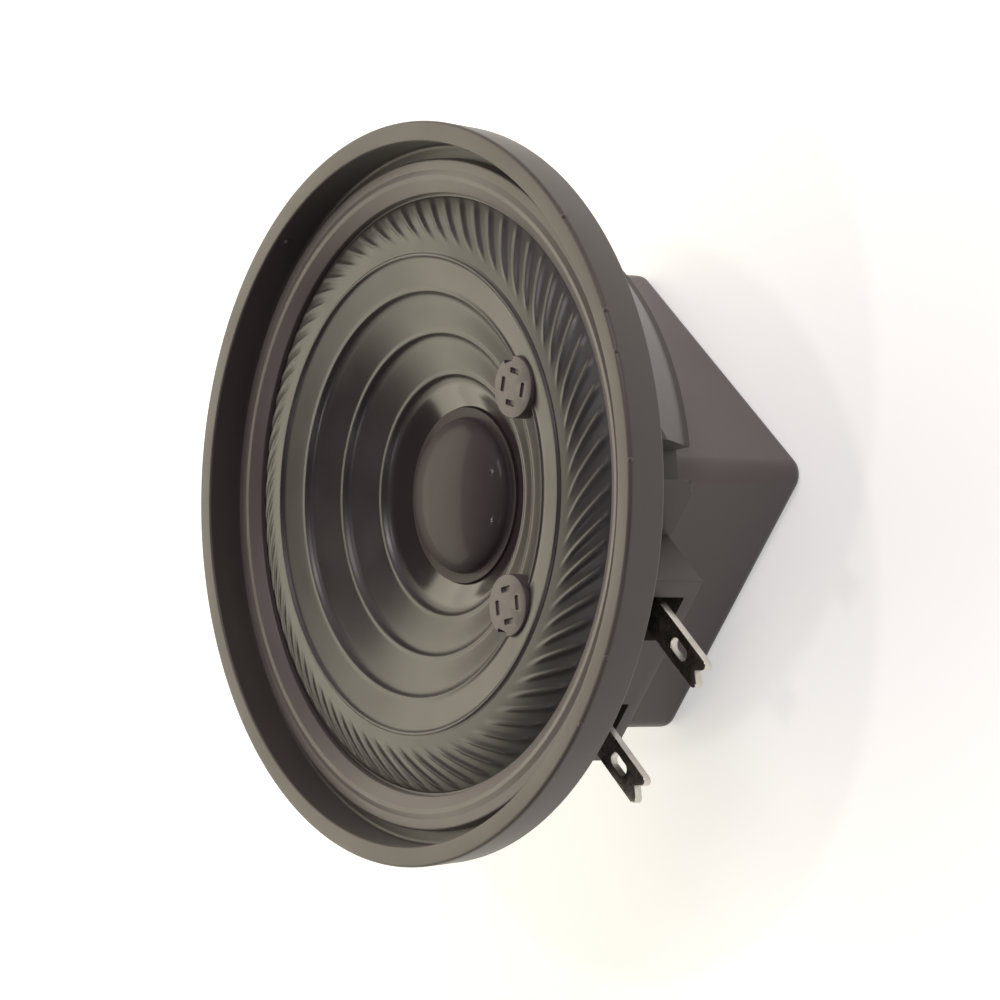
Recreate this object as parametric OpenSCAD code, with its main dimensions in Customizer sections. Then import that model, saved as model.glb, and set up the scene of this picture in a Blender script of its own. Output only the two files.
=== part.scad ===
// Round weatherproof loudspeaker driver that stands on the flat rear of its square magnet cover.
// Z points the way the cone faces, the rear face lies at Z = 0, and the solder lugs point to -Y.

/* [Rim] */
// Outer diameter of the rim
rim_d = 66; // [65:0.5:74]
// Height of the rim's outer wall
rim_h = 3.75; // [3.6:0.05:4]
// Thickness of the rim wall
rim_wall = 1.85; // [1.4:0.05:2.4]
// Size of the bevel round the front and rear edges of the rim
rim_edge = 0.5; // [0.2:0.05:0.8]
// How much narrower the rim is at its rear edge, on the radius
rim_draft = 0.3; // [0:0.05:0.5]
// Depth of the inner ledge below the front face
ledge_drop = 3.6; // [3.4:0.1:4]
// Thickness of the ledge
ledge_t = 1; // [0.8:0.1:1.6]
// Bevel between the ledge and the rim wall
ledge_edge = 0.5; // [0.2:0.05:0.8]
// Width of the bare ledge between the rim wall and the clamp ring
ledge_w = 2.85; // [2.2:0.05:3.4]
// How far the flat seat behind the rim lies inside the rim's rear edge
seat_in = 1.2; // [0.8:0.1:2]
// Width of the flat seat
seat_w = 2.2; // [1.6:0.1:3]

/* [Pot] */
// Height of the straight register behind the seat, which fills the cut-out in a panel
register_h = 1.6; // [1.2:0.1:2.4]
// Diameter of the conical pot at its rear edge
pot_rear_d = 47.2; // [46.6:0.2:49]
// Distance from the front face to the rear face of the pot
pot_drop = 14; // [13.5:0.1:15]
// Wall thickness of the pot
pot_wall = 1.5; // [1.2:0.1:1.8]
// Thickness of the back plate of the pot
back_t = 1.6; // [1.2:0.1:2]
// Distance of the flat terminal side from the axis
flat_y = 18.5; // [18:0.1:19.5]
// Width of the locating notch on each diagonal
notch_w = 3; // [2:0.1:3.6]
// Radius that the floor of a notch reaches in to
notch_r = 21.8; // [21.4:0.1:22.4]
// Width of the raised lip round the rear edge of the pot
lip_w = 0.8; // [0.5:0.1:1.2]
// Height of the raised lip on the slope of the pot
lip_h = 0.35; // [0.2:0.05:0.5]

/* [Terminal block] */
// Width of the block beside each pocket
block_side = 1.8; // [1.2:0.05:2.4]
// Distance of the outer face of the block from the axis
block_y = 24.6; // [24:0.1:26]
// Width of each pocket
pocket_w = 4.8; // [4.4:0.1:5.6]
// Height of each pocket
pocket_h = 4.2; // [3.4:0.1:4.6]
// Depth of each pocket
pocket_depth = 3.5; // [2.5:0.1:4.5]
// How far the lugs lie toward the outside from the middle of their pockets
lug_shift = 0.45; // [0:0.05:0.6]
// Depth of sealing compound on the floor of a pocket
sealant_t = 0.8; // [0.4:0.1:1.2]

/* [Solder lugs] */
// Width of a lug
lug_w = 2.8; // [2.4:0.1:3.2]
// Thickness of a lug
lug_t = 0.8; // [0.5:0.05:1]
// Distance between the centre lines of the two lugs
lug_pitch = 12.9; // [12.5:0.1:14]
// Height of the middle of a lug above the rear face of the pot
lug_up = 3.4; // [3.2:0.1:4]
// Distance of a lug's forked tip from the axis
lug_tip = 32.9; // [31:0.1:32.9]
// Length of a lug's inner end inside the pot
lug_stub = 1.4; // [1.3:0.1:1.6]
// Width of the wire slot in a lug
slot_w = 1.2; // [1:0.1:1.4]
// Length of the wire slot in a lug
slot_l = 2.5; // [2:0.1:3]
// Distance of the middle of the wire slot from the tip
slot_from_tip = 3.7; // [3:0.1:4.5]
// Depth of the fork in the tip
fork_depth = 0.9; // [0.5:0.1:1.2]
// Radius of the solder on a lug's inner end
solder_r = 0.6; // [0.5:0.05:0.65]
// Height of that solder
solder_h = 0.4; // [0.3:0.05:0.6]

/* [Magnet cover] */
// Side of the square cover
cover_side = 30.7; // [30.4:0.1:32]
// Radius of the upright corners of the cover
cover_corner = 1.8; // [1.2:0.1:2.2]
// Wall thickness of the cover
cover_wall = 1.3; // [1.1:0.1:1.4]
// Thickness of the rear wall of the cover
cover_floor = 1.2; // [0.8:0.1:1.4]
// Rounding of the rear edge of the cover
cover_edge = 1; // [0.4:0.1:1.1]
// Thickness of the flat seal between cover and pot
seal_t = 0.5; // [0.3:0.1:0.8]
// Free space between cover and locating rib, and between rib and magnet
rib_clear = 0.2; // [0.1:0.05:0.3]
// Free space between the yoke plate and the rear wall of the cover
cover_air = 0.7; // [0.3:0.1:1.2]
// Height of the square locating rib on the back plate
rib_h = 1.6; // [1:0.1:2]
// Thickness of the locating rib
rib_t = 0.9; // [0.7:0.1:1]

/* [Magnet system] */
// Radius of the upright corners of magnet and plates
magnet_corner = 1.2; // [0.8:0.1:2]
// Thickness of the magnet
magnet_t = 7.8; // [7:0.1:8]
// Radius of the hole in the magnet
magnet_hole_r = 9; // [8.2:0.1:9.6]
// Thickness of the front plate
plate_t = 2.8; // [2.4:0.1:3]
// Thickness of the yoke plate
yoke_t = 2.5; // [2:0.1:2.7]
// Radius of the centre pole
pole_r = 5.8; // [5.4:0.1:6]
// Radius of the foot of the pole, pressed into the yoke plate
pole_foot_r = 4; // [3:0.1:5]
// Free air on each side of the voice coil
gap_clear = 0.3; // [0.25:0.05:0.4]

/* [Voice coil] */
// Thickness of the coil former
former_t = 0.25; // [0.2:0.05:0.3]
// How far the coil former stands up above the cone's neck
former_up = 0.3; // [0.2:0.05:0.4]
// Radial thickness of the winding
winding_t = 0.5; // [0.4:0.05:0.6]
// Height of the winding
winding_h = 3.6; // [3:0.1:4.2]

/* [Cone] */
// Thickness of the film of cone and surround
film_t = 0.25; // [0.2:0.05:0.3]
// Depth of the cone's neck below the front face
neck_drop = 7.6; // [7.5:0.05:7.9]
// Width and height of the adhesive bead under the neck
bead = 0.9; // [0.6:0.05:1]
// Radius of the dust cap's outer edge
cap_r = 7.85; // [7.6:0.05:8.2]
// Depth of the dust cap's outer edge below the front face
cap_drop = 7.2; // [7:0.1:7.5]
// Height of the dome of the dust cap
cap_h = 2.3; // [1.8:0.1:2.8]
// Radius of the smooth dome inside the flat skirt of the dust cap
cap_dome_r = 6.9; // [6.6:0.1:7.1]
// Radius of the inner ridge on the cone
ridge3_r = 10.85; // [10.5:0.05:11.2]
// Depth of the inner ridge below the front face
ridge3_drop = 5.75; // [5.6:0.05:5.9]
// Radius of the middle ridge on the cone
ridge2_r = 14.45; // [14:0.05:14.9]
// Depth of the middle ridge below the front face
ridge2_drop = 3.95; // [3.8:0.05:4.1]
// Radius of the outer ridge on the cone
ridge1_r = 18.1; // [17.6:0.05:18.6]
// Depth of the outer ridge below the front face
ridge1_drop = 2.2; // [2.1:0.05:2.4]
// Radius of the edge where cone and surround meet
edge_r = 21.3; // [20.9:0.05:21.6]
// Depth of that edge below the front face
edge_drop = 1.5; // [1.3:0.05:1.8]
// Height of a ridge above the cone
ridge_h = 0.35; // [0.2:0.05:0.45]
// Width of a ridge
ridge_w = 0.9; // [0.7:0.05:1.2]

/* [Surround] */
// Extra height of the surround's crown over a straight slope
crown_h = 0.45; // [0.3:0.05:0.5]
// Number of pleats round the surround
pleat_count = 72; // [60:4:84]
// Height of a pleat from valley to crest
pleat_h = 0.4; // [0.2:0.05:0.5]
// Angle by which a pleat turns from its outer to its inner end
pleat_skew = 14.5; // [0:0.5:16]
// Width of the smooth band inside the pleats
edge_band = 0.6; // [0.4:0.05:1]
// Gap between the surround and the moving cone
film_gap = 0.25; // [0.2:0.05:0.35]

/* [Clamp ring] */
// Width of the clamp ring
ring_w = 1.55; // [1.2:0.05:2]
// Height of the clamp ring
ring_h = 0.55; // [0.5:0.05:0.8]
// Bevel on the front edges of the clamp ring
ring_edge = 0.2; // [0.1:0.05:0.25]
// How far the clamp ring overhangs the foot of the pleats and the edge of the film
ring_over = 0.25; // [0.15:0.05:0.3]
// How far the ledge ends outside the foot of the pleats
ledge_in = 0.3; // [0.2:0.05:0.5]

/* [Lead pads] */
// Radius of a lead pad
pad_r = 2.7; // [2.4:0.1:2.8]
// Depth of a pad's flat face below the front face
pad_drop = 1.6; // [1.5:0.05:1.7]
// Thickness of the glue between a pad and the cone
pad_glue = 0.05; // [0.04:0.01:0.08]
// Distance of each pad from the axis
pad_at = 17; // [16.6:0.1:17.4]
// Direction of the first pad, counted from +X
pad1_angle = -19; // [-24:1:-12]
// Direction of the second pad
pad2_angle = -86; // [-92:1:-82]
// Length of each slot in a pad
pad_slot_l = 1.3; // [1:0.1:1.5]
// Width of each slot in a pad
pad_slot_w = 0.5; // [0.3:0.05:0.6]
// Distance of the slots from the middle of the pad
pad_slot_at = 1.4; // [1.3:0.05:1.5]
// Depth of the slots and of the notch in a pad
pad_slot_depth = 0.8; // [0.5:0.1:1]
// Width of the notch in a pad's edge
pad_notch_w = 1.3; // [0.9:0.1:1.5]
// How far that notch reaches in from the edge
pad_notch_in = 0.45; // [0.3:0.05:0.5]
// Direction of the notch from the middle of its pad, counted from the way out
pad_notch_angle = 72; // [66:1:78]

/* [Spider] */
// Free space between the spider's seat ring and the lugs
seat_clear = 0.24; // [0.2:0.02:0.5]
// Depth of the spider's seat below the front face
spider_drop = 9.8; // [9.7:0.1:10.2]
// Width of the seat ring
spider_seat_w = 1.2; // [1:0.1:1.5]
// Width of the spider's flat outer rim
spider_flat = 1.4; // [1.2:0.1:1.8]
// Width of the spider's flat inner rim
spider_neck = 0.6; // [0.4:0.1:0.8]
// Thickness of the spider cloth
spider_t = 0.4; // [0.3:0.05:0.5]
// Height of the spider's waves
wave_h = 0.6; // [0.4:0.1:0.8]
// Number of waves in the spider
wave_count = 3; // [2:1:4]

/* [Leads] */
// Diameter of a braided lead
lead_d = 0.8; // [0.6:0.1:1]
// Distance of a lead's upper end from the axis, under its pad
lead_at = 15; // [14.8:0.1:15.4]
// Gap between a lead's upper end and the cone
lead_gap = 0.3; // [0.25:0.05:0.4]

/* [Hidden] */
$fn = 96;
// Overlap that lets a cut run clear past a face
cut = 1;
// Heights of the stack from the rear face up to the front face
yoke_z = cover_floor + cover_air;
magnet_z = yoke_z + yoke_t;
plate_z = magnet_z + magnet_t;
pot_z = plate_z + plate_t;
front_z = pot_z + pot_drop;
rim_r = rim_d / 2;
bowl_r = rim_r - rim_wall;
ledge_z = front_z - ledge_drop;
seat_z = ledge_z - ledge_t;
seat_r = rim_r - rim_draft - seat_in;
register_r = seat_r - seat_w;
register_z = seat_z - register_h;
pot_rear_r = pot_rear_d / 2;
ring_r = bowl_r - ledge_w;
ring_in_r = ring_r - ring_w;
surround_r = ring_r - ring_over;
roll_r = ring_in_r - ring_over;
ledge_r = roll_r - ledge_in;
pot_floor_z = pot_z + back_t;
pot_slope = (register_r - pot_rear_r) / (register_z - pot_z);
// Outer radius of the conical pot at height z
function pot_r(z) = pot_rear_r + (z - pot_z) * pot_slope;
lug_x = lug_pitch / 2;
lug_z = pot_z + lug_up;
lug_in = flat_y - pot_wall - lug_stub;
pocket_x = lug_x - lug_shift;
block_w = 2 * pocket_x + pocket_w + 2 * block_side;
pocket_floor_y = block_y - pocket_depth;
film_z = ledge_z + film_t;
former_in_r = pole_r + gap_clear;
former_r = former_in_r + former_t;
winding_r = former_r + winding_t;
plate_hole_r = winding_r + gap_clear;
former_z = plate_z + plate_t / 2 - winding_h / 2;
neck_z = front_z - neck_drop;
former_h = neck_z + former_up - former_z;
neck_r = former_r + film_gap / 2;
spider_z = front_z - spider_drop;
spider_r = norm([lug_x - lug_w / 2, lug_in]) - seat_clear;
rib_out = cover_side / 2 - cover_wall - rib_clear;
magnet_side = 2 * (rib_out - rib_t - rib_clear) + 0.1;
// Corner points of the cone's front face as radius and depth, from the neck to the outer edge
cone_line = [[neck_r, neck_drop], [cap_r, cap_drop], [ridge3_r, ridge3_drop],
    [ridge2_r, ridge2_drop], [ridge1_r, ridge1_drop], [edge_r, edge_drop]];
// Depth of the cone's front face at radius r, without the ridges
function cone_drop(r) = lookup(r, cone_line);
// Points of one ridge as it rises from the cone and falls back
function ridge(r) = [for (a = [0:30:180])
    [r - ridge_w / 2 * cos(a), front_z - cone_drop(r - ridge_w / 2 * cos(a)) + ridge_h * sin(a)]];
// Front face of the cone in radius and height, ridges included
cone_front = concat([[neck_r, neck_z], [cap_r, front_z - cap_drop]], ridge(ridge3_r), ridge(ridge2_r),
    ridge(ridge1_r), [[edge_r - film_gap, front_z - cone_drop(edge_r - film_gap)]]);
// A line moved down by d, from its far end back to its near end
function below(line, d) = [for (i = [len(line) - 1:-1:0]) [line[i][0], line[i][1] - d]];
// A line moved up by d
function above(line, d) = [for (p = line) [p[0], p[1] + d]];
// Height of the surround's front face at radius r, between its pleats
function crown_z(r) = let (t = max(0, (roll_r - r) / (roll_r - edge_r)))
    film_z + (front_z - edge_drop - film_z) * t + crown_h * sin(180 * t);
// Rows across the surround as radius and pleat height, from the clamped rim to the cone
pleat_in = edge_r + edge_band;
pleat_run = roll_r - pleat_in;
surround_rows = concat([[surround_r, 0], [roll_r, 0]],
    [for (t = [0.12, 0.4, 0.7, 0.9]) [roll_r - pleat_run * t, pleat_h * sqrt(sin(180 * t))]],
    [[pleat_in, 0], [edge_r, 0]]);
// Front face of the spider from its seat to the former
spider_in = former_r + film_gap;
spider_line = concat([[spider_r, spider_z + spider_t]],
    [for (i = [0:wave_count * 8]) let (t = i / (wave_count * 8))
        [spider_r - spider_flat + (spider_in + spider_neck - spider_r + spider_flat) * t,
        spider_z + spider_t + wave_h / 2 * (1 - cos(360 * wave_count * t))]],
    [[spider_in, spider_z + spider_t]]);
lead_end_z = front_z - cone_drop(lead_at) - film_t - lead_gap;
solder_y = lug_in + solder_r + 0.1;
solder_top = lug_z + lug_t / 2 + solder_h;
// Points of a lead as parts of its turn, its way out and its climb, from under its pad to its lug
lead_steps = [[0, 0, 1], [0, 0, 0.85], [0.1, 0.18, 0.68], [0.25, 0.34, 0.58], [0.45, 0.5, 0.5],
    [0.65, 0.66, 0.42], [0.85, 0.85, 0.35], [1, 1, 0.22], [1, 1, 0]];
// Route of a lead from its pad's direction to its lug at x
function lead_path(angle, x) = let (r1 = norm([x, solder_y]), a1 = atan2(-solder_y, x))
    [for (p = lead_steps) let (a = angle + (a1 - angle) * p[0], r = lead_at + (r1 - lead_at) * p[1])
        [r * cos(a), r * sin(a), solder_top + (lead_end_z - solder_top) * p[2]]];

// Square with round corners, made of straight bars and discs
module round_square(side, corner) {
    square([side, side - 2 * corner], center = true);
    square([side - 2 * corner, side], center = true);
    for (x = [-1, 1], y = [-1, 1])
        translate([x * (side / 2 - corner), y * (side / 2 - corner)]) circle(corner, $fn = 48);
}

// Plate or block with round upright corners
module round_block(side, corner, h) {
    linear_extrude(h) round_square(side, corner);
}

// Solid rim with the straight register behind it
module rim_solid() {
    rotate_extrude() polygon([[0, register_z], [register_r, register_z], [register_r, seat_z],
        [seat_r, seat_z], [rim_r - rim_draft, front_z - rim_h],
        [rim_r, front_z - rim_edge], [rim_r - rim_edge, front_z], [0, front_z]]);
}

// Solid conical pot with its lip, cut flat on the terminal side
module pot_solid() {
    lip_slope_z = pot_z + lip_w;
    intersection() {
        rotate_extrude() polygon([[0, pot_z], [pot_rear_r, pot_z], [pot_rear_r + lip_h, pot_z + lip_h / 2],
            [pot_r(lip_slope_z) + lip_h, lip_slope_z], [pot_r(lip_slope_z + lip_h), lip_slope_z + lip_h],
            [register_r, register_z], [0, register_z]]);
        translate([-rim_r, -flat_y, pot_z]) cube([rim_d, rim_r + flat_y, pot_drop]);
    }
}

// Space inside the rim, down to the ledge
module rim_space() {
    rotate_extrude() polygon([[0, ledge_z], [bowl_r - ledge_edge, ledge_z], [bowl_r, ledge_z + ledge_edge],
        [bowl_r, front_z + cut], [0, front_z + cut]]);
}

// Space inside the pot, which also stays clear of the flat terminal side
module pot_space() {
    intersection() {
        rotate_extrude() polygon([[0, pot_floor_z], [pot_r(pot_floor_z) - pot_wall, pot_floor_z],
            [register_r - pot_wall, register_z], [register_r - pot_wall, seat_z - 0.6],
            [ledge_r, seat_z], [0, seat_z]]);
        translate([-rim_r, pot_wall - flat_y, pot_z]) cube([rim_d, rim_r + flat_y, pot_drop]);
    }
}

// Bars across the diagonals, for the notches and for the bosses behind them
module diagonals(w, r, z, h) {
    for (a = [45:90:315])
        rotate(a) translate([r, -w / 2, z]) cube([rim_r - r, w, h]);
}

module basket() {
    color("#4b4744") {
        difference() {
            union() {
                difference() {
                    union() {
                        rim_solid();
                        pot_solid();
                        translate([-block_w / 2, -block_y, pot_z])
                            cube([block_w, block_y - flat_y + pot_wall, seat_z - pot_z]);
                    }
                    pot_space();
                    rim_space();
                    translate([0, 0, seat_z - cut]) cylinder(ledge_drop + ledge_t, ledge_r, ledge_r);
                }
                // Bosses that close the pot behind the notches
                intersection() {
                    diagonals(notch_w + 2 * pot_wall, notch_r - pot_wall, pot_z, register_z - pot_z);
                    pot_solid();
                }
                // Ring that the spider sits on
                translate([0, 0, pot_z]) cylinder(spider_z - pot_z, spider_r, spider_r);
                // Square rib that locates the magnet cover
                translate([0, 0, pot_z - rib_h]) round_block(2 * rib_out, cover_corner - 0.4, rib_h);
            }
            translate([0, 0, pot_floor_z])
                cylinder(pot_drop, spider_r - spider_seat_w, spider_r - spider_seat_w);
            translate([0, 0, pot_z - rib_h - cut])
                round_block(2 * (rib_out - rib_t), cover_corner - 0.6, rib_h + cut);
            translate([0, 0, pot_z - cut]) cylinder(back_t + 2 * cut, magnet_hole_r, magnet_hole_r);
            diagonals(notch_w, notch_r, pot_z - cut, register_z - pot_z + cut);
            for (s = [-1, 1]) {
                translate([s * pocket_x - pocket_w / 2, -block_y - cut, lug_z - pocket_h / 2])
                    cube([pocket_w, pocket_depth + cut, pocket_h]);
                translate([s * lug_x - lug_w / 2, -block_y, lug_z - lug_t / 2])
                    cube([lug_w, block_y - flat_y + pot_wall + cut, lug_t]);
            }
        }
    }
}

module clamp_ring() {
    top = film_z + ring_h;
    color("#5a5652") rotate_extrude() polygon([[ring_in_r, film_z], [ring_r, film_z],
        [ring_r, top - ring_edge], [ring_r - ring_edge, top], [ring_in_r + ring_edge, top],
        [ring_in_r, top - ring_edge]]);
}

// Points of one face of the surround, two to each pleat, lowered by drop
function pleat_points(drop) = [for (row = surround_rows, k = [0:2 * pleat_count - 1])
    let (r = row[0], a = (k - pleat_skew * pleat_count / 180 * (roll_r - r) / pleat_run) * 180 / pleat_count)
        [r * cos(a), r * sin(a), crown_z(r) + (k % 2 == 0 ? 0 : row[1]) - drop]];

// Pleated film, closed at its outer and inner edges
module surround() {
    n = 2 * pleat_count;
    rows = len(surround_rows);
    m = n * rows;
    face = [for (j = [0:rows - 2], k = [0:n - 1]) let (a = j * n + k, b = j * n + (k + 1) % n)
        each [[a, b, b + n], [a, b + n, a + n]]];
    edge = [for (j = [0, rows - 1], k = [0:n - 1]) let (a = j * n + k, b = j * n + (k + 1) % n)
        each j == 0 ? [[b, a, a + m], [b, a + m, b + m]] : [[a, b, b + m], [a, b + m, a + m]]];
    under = [for (f = face) [f[2] + m, f[1] + m, f[0] + m]];
    color("#5c5853") polyhedron(concat(pleat_points(0), pleat_points(film_t)), concat(face, under, edge));
}

module cone() {
    color("#4e4a48") rotate_extrude() polygon(concat(cone_front, below(cone_front, film_t)));
}

module dust_cap() {
    skirt_z = front_z - cone_drop(cap_dome_r);
    dome = [for (i = [0:8]) let (t = i / 8)
        [cap_dome_r * cos(90 * t), skirt_z + 2 * film_t + cap_h * sin(90 * t)]];
    skirt = [[cap_r, front_z - cap_drop + film_t]];
    line = concat(skirt, dome);
    bottom = [[0, skirt_z + film_t + cap_h]];
    under = [for (i = [7:-1:0]) let (t = i / 8)
        [(cap_dome_r - film_t) * cos(90 * t), skirt_z + film_t + cap_h * sin(90 * t)]];
    color("#55504e") rotate_extrude()
        polygon(concat(line, bottom, under, [[cap_dome_r - film_t, front_z - cone_drop(cap_dome_r - film_t)],
            [cap_r, front_z - cap_drop]]));
}

// Round pad with a flat face that stands on the cone, with four slots and a notch on one side of it
module lead_pad(angle, side) {
    slot_z = front_z - pad_drop - pad_slot_depth;
    color("#585450") rotate(angle) intersection() {
        rotate_extrude()
            polygon(concat(above(cone_front, pad_glue), [[edge_r - film_gap, front_z], [neck_r, front_z]]));
        translate([pad_at, 0, 0]) difference() {
            cylinder(front_z - pad_drop, pad_r, pad_r);
            for (a = [45:90:315])
                rotate(a) translate([pad_slot_at - pad_slot_w / 2, -pad_slot_l / 2, slot_z])
                    cube([pad_slot_w, pad_slot_l, pad_slot_depth + cut]);
            rotate(side * pad_notch_angle) translate([pad_r - pad_notch_in, -pad_notch_w / 2, slot_z])
                cube([pad_notch_in + cut, pad_notch_w, pad_slot_depth + cut]);
        }
    }
}

module lead_pad_right() {
    lead_pad(pad1_angle, 1);
}

module lead_pad_left() {
    lead_pad(pad2_angle, -1);
}

// Bead that joins former and cone under the neck
module neck_adhesive() {
    z = neck_z - film_t;
    color("#c8b26a") rotate_extrude() polygon([[former_r, z - bead], [neck_r, z - bead],
        [neck_r + bead, front_z - cone_drop(neck_r + bead) - film_t], [neck_r, z], [neck_r, neck_z],
        [former_r, neck_z]]);
}

module coil_former() {
    color("#b9823c") translate([0, 0, former_z]) difference() {
        cylinder(former_h, former_r, former_r);
        translate([0, 0, -cut]) cylinder(former_h + 2 * cut, former_in_r, former_in_r);
    }
}

module voice_coil() {
    color("#a5532a") translate([0, 0, former_z]) difference() {
        cylinder(winding_h, winding_r, winding_r);
        translate([0, 0, -cut]) cylinder(winding_h + 2 * cut, former_r, former_r);
    }
}

module spider() {
    color("#b89a5e") rotate_extrude() polygon(concat(spider_line, below(spider_line, spider_t)));
}

module front_plate() {
    color("#a9acb0") translate([0, 0, plate_z]) difference() {
        round_block(magnet_side, magnet_corner, plate_t);
        translate([0, 0, -cut]) cylinder(plate_t + 2 * cut, plate_hole_r, plate_hole_r);
    }
}

module magnet() {
    color("#3b3b3e") translate([0, 0, magnet_z]) difference() {
        round_block(magnet_side, magnet_corner, magnet_t);
        translate([0, 0, -cut]) cylinder(magnet_t + 2 * cut, magnet_hole_r, magnet_hole_r);
    }
}

module yoke_plate() {
    color("#a9acb0") translate([0, 0, yoke_z]) difference() {
        round_block(magnet_side, magnet_corner, yoke_t);
        translate([0, 0, -cut]) cylinder(yoke_t + 2 * cut, pole_foot_r, pole_foot_r);
    }
}

module pole_piece() {
    color("#9a9da1") {
        translate([0, 0, yoke_z]) cylinder(yoke_t, pole_foot_r, pole_foot_r);
        translate([0, 0, magnet_z]) cylinder(pot_z - magnet_z, pole_r, pole_r);
    }
}

// Side view of the cover with its rear edges rounded in three flats
module cover_profile() {
    h = pot_z - seal_t;
    half = cover_side / 2;
    e = cover_edge;
    linear_extrude(cover_side + 2 * cut, center = true)
        polygon([[-half, h], [-half, e], [-half + 0.13 * e, e / 2], [-half + e / 2, 0.13 * e], [-half + e, 0],
            [half - e, 0], [half - e / 2, 0.13 * e], [half - 0.13 * e, e / 2], [half, e], [half, h]]);
}

module magnet_cover() {
    inner = cover_side - 2 * cover_wall;
    color("#474340") difference() {
        intersection() {
            round_block(cover_side, cover_corner, pot_z - seal_t);
            rotate([90, 0, 0]) cover_profile();
            rotate([90, 0, 90]) cover_profile();
        }
        translate([0, 0, cover_floor]) round_block(inner, cover_corner - 0.2, pot_z);
    }
}

module cover_seal() {
    color("#262626") translate([0, 0, pot_z - seal_t]) difference() {
        round_block(cover_side - 0.6, cover_corner - 0.3, seal_t);
        translate([0, 0, -cut]) round_block(2 * rib_out, cover_corner - 0.4, seal_t + 2 * cut);
    }
}

// One forked lug that points to -Y, drawn in its own plan and lifted to its height
module lug(x) {
    mid = lug_tip - slot_from_tip;
    straight = slot_l - slot_w;
    color("#c9c6bd") translate([x, 0, lug_z - lug_t / 2]) linear_extrude(lug_t) difference() {
        polygon([[-lug_w / 2, -lug_in], [lug_w / 2, -lug_in], [lug_w / 2, -lug_tip + 0.4],
            [lug_w / 2 - 0.4, -lug_tip], [lug_w / 2 - 0.75, -lug_tip + 0.15], [0, -lug_tip + fork_depth],
            [-lug_w / 2 + 0.75, -lug_tip + 0.15], [-lug_w / 2 + 0.4, -lug_tip], [-lug_w / 2, -lug_tip + 0.4]]);
        for (s = [-1, 1]) translate([0, -mid + s * straight / 2]) circle(slot_w / 2, $fn = 32);
        translate([-slot_w / 2, -mid - straight / 2]) square([slot_w, straight]);
    }
}

module lug_right() {
    lug(lug_x);
}

module lug_left() {
    lug(-lug_x);
}

// Sealing compound round each lug, on the floor of its pocket
module terminal_sealant() {
    color("#1f1f22") for (s = [-1, 1]) difference() {
        translate([s * pocket_x - pocket_w / 2, -pocket_floor_y - sealant_t, lug_z - pocket_h / 2])
            cube([pocket_w, sealant_t, pocket_h]);
        translate([s * lug_x - lug_w / 2, -block_y, lug_z - lug_t / 2]) cube([lug_w, pocket_depth, lug_t]);
    }
}

// Small cones of solder on the inner ends of the lugs
module solder_joints() {
    color("#c4c6c9") for (s = [-1, 1])
        translate([s * lug_x, -solder_y, lug_z + lug_t / 2]) cylinder(solder_h, solder_r, lead_d / 2);
}

// Cross-section rings of a tube of diameter d along points, 8 sides each
function ring_points(path, d) = [for (i = [0:len(path) - 1])
    let (a = path[max(i - 1, 0)], b = path[min(i + 1, len(path) - 1)], t = (b - a) / norm(b - a),
        u0 = cross(t, [0, 0, 1]), u = norm(u0) < 0.01 ? [1, 0, 0] : u0 / norm(u0), v = cross(u, t))
    for (k = [0:7]) path[i] + d / 2 * (cos(45 * k) * u + sin(45 * k) * v)];

module tube(path, d) {
    n = len(path);
    polyhedron(ring_points(path, d), concat([[for (k = [0:7]) k]],
        [for (i = [0:n - 2], k = [0:7]) [8 * i + k, 8 * i + 8 + k, 8 * i + 8 + (k + 1) % 8, 8 * i + (k + 1) % 8]],
        [[for (k = [7:-1:0]) 8 * (n - 1) + k]]));
}

module lead_right() {
    color("#b5794a") tube(lead_path(pad1_angle, lug_x), lead_d);
}

module lead_left() {
    color("#b5794a") tube(lead_path(pad2_angle, -lug_x), lead_d);
}

basket();
clamp_ring();
surround();
cone();
dust_cap();
lead_pad_right();
lead_pad_left();
neck_adhesive();
coil_former();
voice_coil();
spider();
front_plate();
magnet();
yoke_plate();
pole_piece();
magnet_cover();
cover_seal();
lug_right();
lug_left();
terminal_sealant();
solder_joints();
lead_right();
lead_left();
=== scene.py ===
"""Weatherproof loudspeaker: moulded basket, pleated film surround, stepped film cone, square magnet cover."""

import math

import bmesh
import bpy
import numpy as np
from mathutils import Matrix, Vector


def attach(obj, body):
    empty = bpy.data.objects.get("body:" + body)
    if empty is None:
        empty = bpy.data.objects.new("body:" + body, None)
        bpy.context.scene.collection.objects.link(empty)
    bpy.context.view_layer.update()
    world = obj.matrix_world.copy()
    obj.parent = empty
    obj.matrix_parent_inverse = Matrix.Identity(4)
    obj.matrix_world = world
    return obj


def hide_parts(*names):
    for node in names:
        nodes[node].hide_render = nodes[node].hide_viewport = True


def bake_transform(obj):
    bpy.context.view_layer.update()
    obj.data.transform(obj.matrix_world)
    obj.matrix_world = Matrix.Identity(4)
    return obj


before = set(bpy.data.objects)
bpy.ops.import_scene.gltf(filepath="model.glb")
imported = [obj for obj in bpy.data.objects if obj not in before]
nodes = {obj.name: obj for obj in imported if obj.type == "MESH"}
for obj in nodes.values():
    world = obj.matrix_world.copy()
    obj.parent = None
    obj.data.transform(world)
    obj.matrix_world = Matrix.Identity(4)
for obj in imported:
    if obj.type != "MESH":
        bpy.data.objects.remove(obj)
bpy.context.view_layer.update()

MM = 0.001
FRAME, CONE = "driver_frame", "cone_assembly"

# Sizes in mm, the same as in the CAD source. First the rim, with its ledge, seat and register
FRONT_Z = 29.0
RIM_R = 33.0
RIM_FOOT_R, RIM_FOOT_Z = 32.7, 25.25
BOWL_R = 31.15
LEDGE_Z = 25.4
LEDGE_R = 26.2
SEAT_Z = 24.4
SEAT_R = 31.5
REGISTER_R = 29.3
REGISTER_Z = 22.8

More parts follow.
